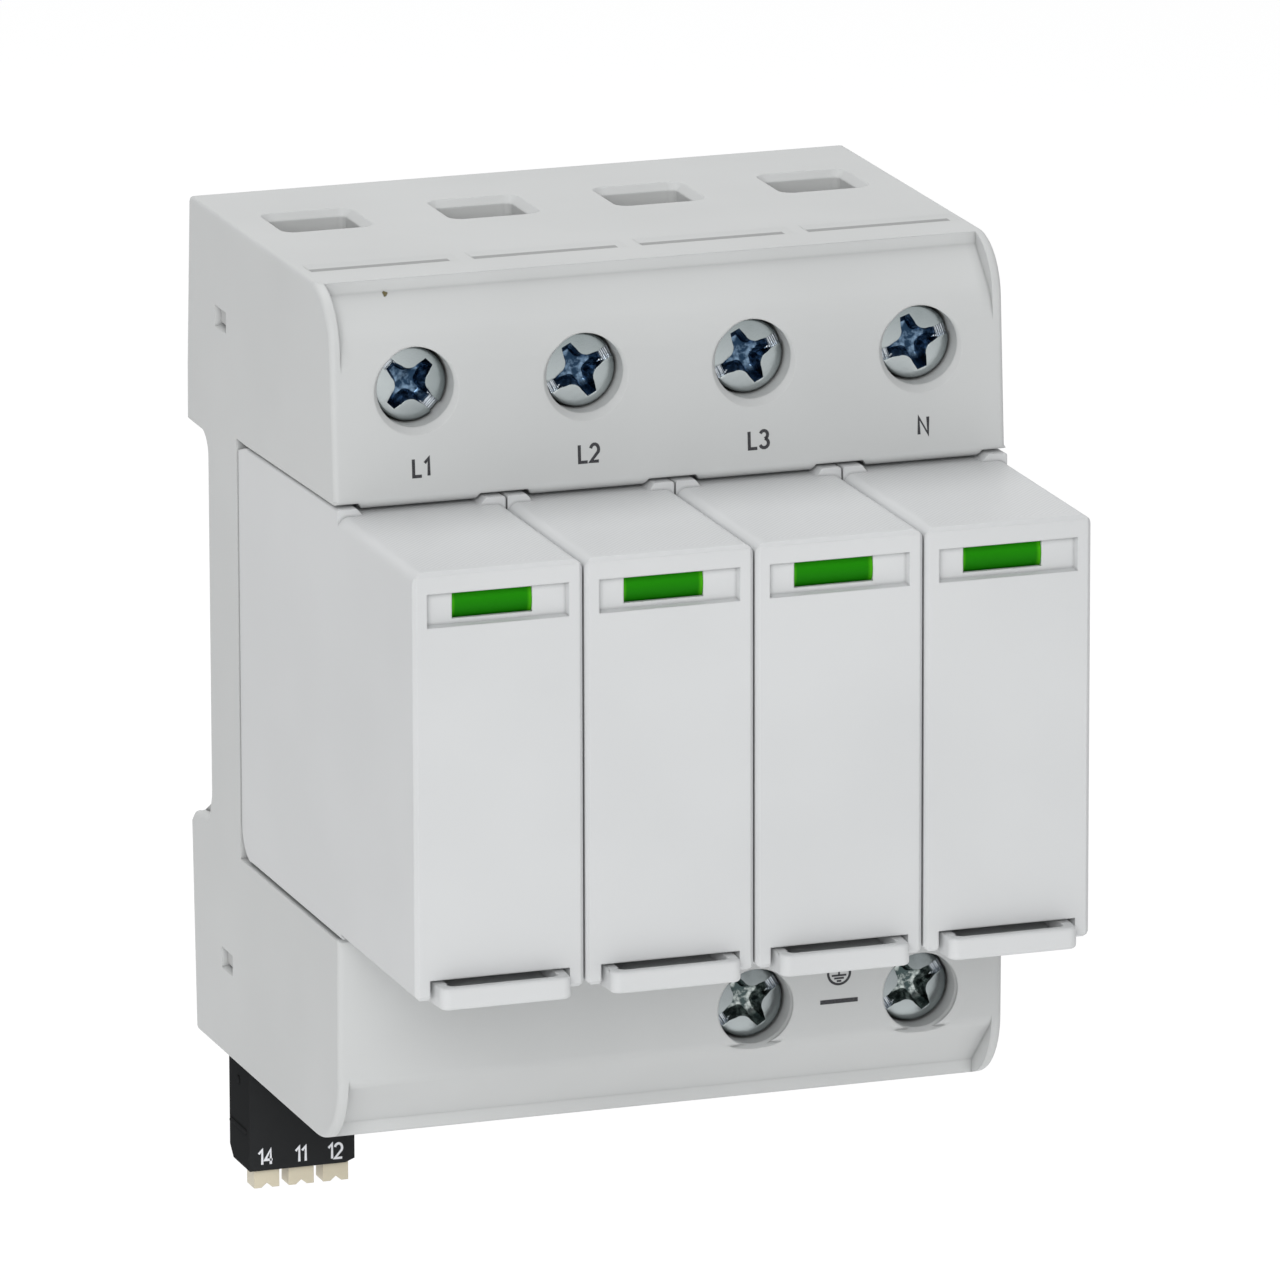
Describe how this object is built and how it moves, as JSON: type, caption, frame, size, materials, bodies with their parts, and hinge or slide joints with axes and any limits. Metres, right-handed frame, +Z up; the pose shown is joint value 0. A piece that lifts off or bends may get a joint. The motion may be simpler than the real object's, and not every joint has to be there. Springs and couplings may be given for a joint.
{
  "type": "surge protective device",
  "caption": "Modular surge protective device for a rail: base with cage terminals, plug-in protection modules with green status windows and pull handles, and a remote signalling plug.",
  "frame": {"origin": "centre of the face that rests on the rail, on the rail's centre line", "axes": "+X to the right seen from the front, -Y to the front, +Z up; the rail lies behind y = 0"},
  "size_m": [0.072, 0.0776, 0.104],
  "materials": {
    "housing_grey": "fine matt moulded plastic, light grey",
    "cover_grey": "fine matt moulded plastic, light grey",
    "module_grey": "fine matt moulded plastic, light grey",
    "latch_grey": "matt moulded plastic",
    "zinc_steel": "zinc plated, slightly bluish",
    "contact_metal": "stamped, tinned in places",
    "spring_steel": "bright spring strip",
    "circuit_board": "green solder mask",
    "plug_black": "black moulded plastic",
    "pusher_ivory": "ivory moulded plastic",
    "flag_green": "bright green, red on the hidden quarter",
    "varistor_blue": "epoxy coated disc",
    "arm_white": "white moulded plastic"
  },
  "bodies": {
    "base": {"base_housing": "housing_grey", "rear_cover": "cover_grey", "earth_busbar": "contact_metal", "line_contact_1": "contact_metal", "line_contact_2": "contact_metal", "line_contact_3": "contact_metal", "line_contact_4": "contact_metal", "signal_board": "circuit_board"},
    "rail_latch_left": {"rail_latch_left": "latch_grey"},
    "rail_latch_right": {"rail_latch_right": "latch_grey"},
    "screw_1": {"terminal_screw_1": "zinc_steel"},
    "screw_2": {"terminal_screw_2": "zinc_steel"},
    "screw_3": {"terminal_screw_3": "zinc_steel"},
    "screw_4": {"terminal_screw_4": "zinc_steel"},
    "screw_5": {"terminal_screw_5": "zinc_steel"},
    "screw_6": {"terminal_screw_6": "zinc_steel"},
    "cage_1": {"terminal_cage_1": "zinc_steel"},
    "cage_2": {"terminal_cage_2": "zinc_steel"},
    "cage_3": {"terminal_cage_3": "zinc_steel"},
    "cage_4": {"terminal_cage_4": "zinc_steel"},
    "cage_5": {"terminal_cage_5": "zinc_steel"},
    "cage_6": {"terminal_cage_6": "zinc_steel"},
    "plug": {"signal_plug": "plug_black", "plug_contacts": "spring_steel"},
    "pusher_14": {"plug_pusher_14": "pusher_ivory"},
    "pusher_11": {"plug_pusher_11": "pusher_ivory"},
    "pusher_12": {"plug_pusher_12": "pusher_ivory"},
    "module_1": {"module_case_1": "module_grey", "module_base_1": "module_grey", "varistor_1": "varistor_blue", "line_blade_1": "contact_metal", "earth_blade_1": "contact_metal"},
    "handle_1": {"pull_handle_1": "module_grey"},
    "flag_1": {"status_flag_1": "flag_green"},
    "arm_1": {"trip_arm_1": "arm_white"},
    "module_2": {"module_case_2": "module_grey", "module_base_2": "module_grey", "varistor_2": "varistor_blue", "line_blade_2": "contact_metal", "earth_blade_2": "contact_metal"},
    "handle_2": {"pull_handle_2": "module_grey"},
    "flag_2": {"status_flag_2": "flag_green"},
    "arm_2": {"trip_arm_2": "arm_white"},
    "module_3": {"module_case_3": "module_grey", "module_base_3": "module_grey", "varistor_3": "varistor_blue", "line_blade_3": "contact_metal", "earth_blade_3": "contact_metal"},
    "handle_3": {"pull_handle_3": "module_grey"},
    "flag_3": {"status_flag_3": "flag_green"},
    "arm_3": {"trip_arm_3": "arm_white"},
    "module_4": {"module_case_4": "module_grey", "module_base_4": "module_grey", "varistor_4": "varistor_blue", "line_blade_4": "contact_metal", "earth_blade_4": "contact_metal"},
    "handle_4": {"pull_handle_4": "module_grey"},
    "flag_4": {"status_flag_4": "flag_green"},
    "arm_4": {"trip_arm_4": "arm_white"}
  },
  "joints": [
    {"name": "latch_left_slide", "type": "slide", "parent": "base", "child": "rail_latch_left", "axis": [0, 0, -1], "range_m": [0, 0.004], "stiffness_N_per_m": 1200, "springref_m": -0.002},
    {"name": "latch_right_slide", "type": "slide", "parent": "base", "child": "rail_latch_right", "axis": [0, 0, -1], "range_m": [0, 0.004], "stiffness_N_per_m": 1200, "springref_m": -0.002},
    {"name": "screw_turn_1", "type": "hinge", "parent": "base", "child": "screw_1", "pos_m": [-0.027, -0.038, 0.0347], "axis": [0, 1, 0], "range_deg": [0, 2880]},
    {"name": "cage_rise_1", "type": "slide", "parent": "base", "child": "cage_1", "axis": [0, -1, 0], "range_m": [0, 0.0064]},
    {"name": "screw_turn_2", "type": "hinge", "parent": "base", "child": "screw_2", "pos_m": [-0.009, -0.038, 0.0347], "axis": [0, 1, 0], "range_deg": [0, 2880]},
    {"name": "cage_rise_2", "type": "slide", "parent": "base", "child": "cage_2", "axis": [0, -1, 0], "range_m": [0, 0.0064]},
    {"name": "screw_turn_3", "type": "hinge", "parent": "base", "child": "screw_3", "pos_m": [0.009, -0.038, 0.0347], "axis": [0, 1, 0], "range_deg": [0, 2880]},
    {"name": "cage_rise_3", "type": "slide", "parent": "base", "child": "cage_3", "axis": [0, -1, 0], "range_m": [0, 0.0064]},
    {"name": "screw_turn_4", "type": "hinge", "parent": "base", "child": "screw_4", "pos_m": [0.027, -0.038, 0.0347], "axis": [0, 1, 0], "range_deg": [0, 2880]},
    {"name": "cage_rise_4", "type": "slide", "parent": "base", "child": "cage_4", "axis": [0, -1, 0], "range_m": [0, 0.0064]},
    {"name": "screw_turn_5", "type": "hinge", "parent": "base", "child": "screw_5", "pos_m": [0.009, -0.038, -0.0335], "axis": [0, 1, 0], "range_deg": [0, 2880]},
    {"name": "cage_rise_5", "type": "slide", "parent": "base", "child": "cage_5", "axis": [0, -1, 0], "range_m": [0, 0.0064]},
    {"name": "screw_turn_6", "type": "hinge", "parent": "base", "child": "screw_6", "pos_m": [0.027, -0.038, -0.0335], "axis": [0, 1, 0], "range_deg": [0, 2880]},
    {"name": "cage_rise_6", "type": "slide", "parent": "base", "child": "cage_6", "axis": [0, -1, 0], "range_m": [0, 0.0064]},
    {"name": "plug_pull", "type": "slide", "parent": "base", "child": "plug", "axis": [0, 0, -1], "range_m": [0, 0.02]},
    {"name": "pusher_press_14", "type": "slide", "parent": "plug", "child": "pusher_14", "axis": [0, 0, 1], "range_m": [0, 0.0015], "stiffness_N_per_m": 900, "springref_m": -0.001},
    {"name": "pusher_press_11", "type": "slide", "parent": "plug", "child": "pusher_11", "axis": [0, 0, 1], "range_m": [0, 0.0015], "stiffness_N_per_m": 900, "springref_m": -0.001},
    {"name": "pusher_press_12", "type": "slide", "parent": "plug", "child": "pusher_12", "axis": [0, 0, 1], "range_m": [0, 0.0015], "stiffness_N_per_m": 900, "springref_m": -0.001},
    {"name": "module_pull_1", "type": "slide", "parent": "base", "child": "module_1", "axis": [0, -1, 0], "range_m": [0, 0.06]},
    {"name": "handle_pull_1", "type": "slide", "parent": "module_1", "child": "handle_1", "axis": [0, -1, 0], "range_m": [0, 0.009]},
    {"name": "arm_trip_1", "type": "hinge", "parent": "module_1", "child": "arm_1", "pos_m": [-0.0216, -0.019, 0], "axis": [0, 0, -1], "range_deg": [0, 5]},
    {"name": "flag_turn_1", "type": "hinge", "parent": "module_1", "child": "flag_1", "pos_m": [-0.0274, -0.06485, 0.01862], "axis": [1, 0, 0], "range_deg": [0, 90]},
    {"name": "module_pull_2", "type": "slide", "parent": "base", "child": "module_2", "axis": [0, -1, 0], "range_m": [0, 0.06]},
    {"name": "handle_pull_2", "type": "slide", "parent": "module_2", "child": "handle_2", "axis": [0, -1, 0], "range_m": [0, 0.009]},
    {"name": "arm_trip_2", "type": "hinge", "parent": "module_2", "child": "arm_2", "pos_m": [-0.0036, -0.019, 0], "axis": [0, 0, -1], "range_deg": [0, 5]},
    {"name": "flag_turn_2", "type": "hinge", "parent": "module_2", "child": "flag_2", "pos_m": [-0.0094, -0.06485, 0.01862], "axis": [1, 0, 0], "range_deg": [0, 90]},
    {"name": "module_pull_3", "type": "slide", "parent": "base", "child": "module_3", "axis": [0, -1, 0], "range_m": [0, 0.06]},
    {"name": "handle_pull_3", "type": "slide", "parent": "module_3", "child": "handle_3", "axis": [0, -1, 0], "range_m": [0, 0.009]},
    {"name": "arm_trip_3", "type": "hinge", "parent": "module_3", "child": "arm_3", "pos_m": [0.0144, -0.019, 0], "axis": [0, 0, -1], "range_deg": [0, 5]},
    {"name": "flag_turn_3", "type": "hinge", "parent": "module_3", "child": "flag_3", "pos_m": [0.0086, -0.06485, 0.01862], "axis": [1, 0, 0], "range_deg": [0, 90]},
    {"name": "module_pull_4", "type": "slide", "parent": "base", "child": "module_4", "axis": [0, -1, 0], "range_m": [0, 0.06]},
    {"name": "handle_pull_4", "type": "slide", "parent": "module_4", "child": "handle_4", "axis": [0, -1, 0], "range_m": [0, 0.009]},
    {"name": "arm_trip_4", "type": "hinge", "parent": "module_4", "child": "arm_4", "pos_m": [0.0324, -0.019, 0], "axis": [0, 0, -1], "range_deg": [0, 5]},
    {"name": "flag_turn_4", "type": "hinge", "parent": "module_4", "child": "flag_4", "pos_m": [0.0266, -0.06485, 0.01862], "axis": [1, 0, 0], "range_deg": [0, 90]}
  ],
  "couplings": [
    {"joint": "screw_turn_1", "follows": "cage_rise_1", "rad_per_m": 7853.9},
    {"joint": "screw_turn_2", "follows": "cage_rise_2", "rad_per_m": 7853.9},
    {"joint": "screw_turn_3", "follows": "cage_rise_3", "rad_per_m": 7853.9},
    {"joint": "screw_turn_4", "follows": "cage_rise_4", "rad_per_m": 7853.9},
    {"joint": "screw_turn_5", "follows": "cage_rise_5", "rad_per_m": 7853.9},
    {"joint": "screw_turn_6", "follows": "cage_rise_6", "rad_per_m": 7853.9},
    {"joint": "flag_turn_1", "follows": "arm_trip_1", "ratio": 18},
    {"joint": "flag_turn_2", "follows": "arm_trip_2", "ratio": 18},
    {"joint": "flag_turn_3", "follows": "arm_trip_3", "ratio": 18},
    {"joint": "flag_turn_4", "follows": "arm_trip_4", "ratio": 18}
  ]
}
